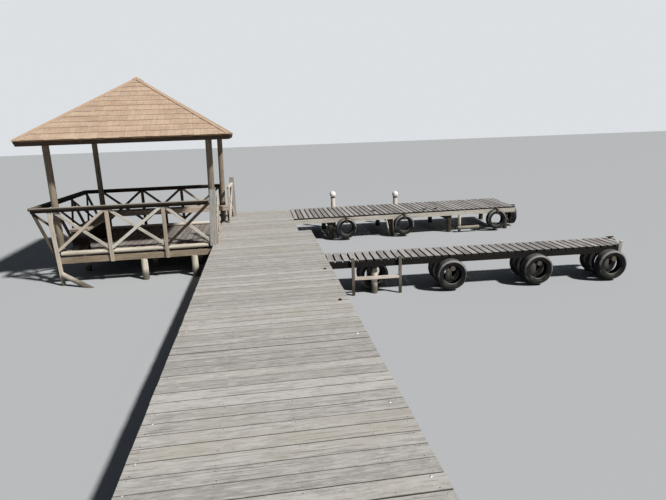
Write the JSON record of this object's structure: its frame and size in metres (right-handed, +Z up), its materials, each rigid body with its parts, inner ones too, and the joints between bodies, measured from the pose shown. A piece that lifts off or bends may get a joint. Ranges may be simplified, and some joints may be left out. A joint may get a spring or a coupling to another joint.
{
  "type": "wooden jetty with a shelter and two berthing piers",
  "caption": "Timber pile jetty: a boarded walkway with a hip-roofed open shelter on one side and two berthing piers hung with tyre fenders on the other.",
  "frame": {"origin": "top of the walkway's boards, on its centreline over the first pile row at the landward end", "axes": "+Y along the walkway away from the shore, +X across it towards the berthing piers, +Z up"},
  "size_m": [12.0721, 15.1602, 4.242],
  "materials": {
    "dark_timber": "damp dark timber",
    "walkway_boards": "weathered grey boards, worn edges",
    "pile_wood": "dark round piles, wet at the foot",
    "pier_boards": "weathered pale grey boards",
    "pale_pole": "bleached pale poles",
    "tyre_rubber": "old dusty rubber",
    "rail_wood": "bleached sawn battens",
    "cream_timber": "pale cream sawn timber",
    "dark_iron": "dark iron",
    "white_paint": "white float",
    "tan_timber": "tan round and sawn timber",
    "bench_wood": "grey bench boards",
    "roof_timber": "dark brown timber",
    "shingles": "tan wood shingles"
  },
  "bodies": {
    "root": {"end_beam": "dark_timber", "walkway_deck": "walkway_boards", "walkway_joists": "dark_timber", "walkway_head_beams": "dark_timber", "walkway_piles": "pile_wood", "near_pier_deck": "pier_boards", "near_pier_beams": "dark_timber", "near_pier_blocks": "dark_timber", "near_pier_logs": "pale_pole", "near_pier_piles": "pale_pole", "near_tyres": "tyre_rubber", "ladder_posts": "rail_wood", "ladder_step": "rail_wood", "end_stay": "pale_pole", "far_pier_deck": "pier_boards", "far_pier_beams": "cream_timber", "far_pier_head_beams": "dark_timber", "far_pier_piles": "pile_wood", "pale_stakes": "pale_pole", "loose_logs": "pale_pole", "far_tyres": "tyre_rubber", "tyre_straps": "dark_timber", "cleats": "dark_iron", "mooring_posts": "pale_pole", "mooring_collars": "dark_iron", "mooring_balls": "white_paint", "shelter_floor": "pier_boards", "shelter_beams": "tan_timber", "shelter_piles": "pile_wood", "floor_logs": "pale_pole", "front_railing": "rail_wood", "back_railing": "rail_wood", "left_railing": "rail_wood", "side_railing": "rail_wood", "wing_railing": "rail_wood", "front_handrail": "rail_wood", "back_handrail": "rail_wood", "left_handrail": "rail_wood", "bench_seats": "bench_wood", "bench_legs": "bench_wood", "roof_posts": "tan_timber", "wall_plates": "roof_timber", "rafters": "roof_timber", "roof_front": "shingles", "roof_back": "shingles", "roof_left": "shingles", "roof_right": "shingles", "fascia": "roof_timber", "hip_boards": "shingles", "ridge_cap": "shingles"}
  },
  "joints": []
}
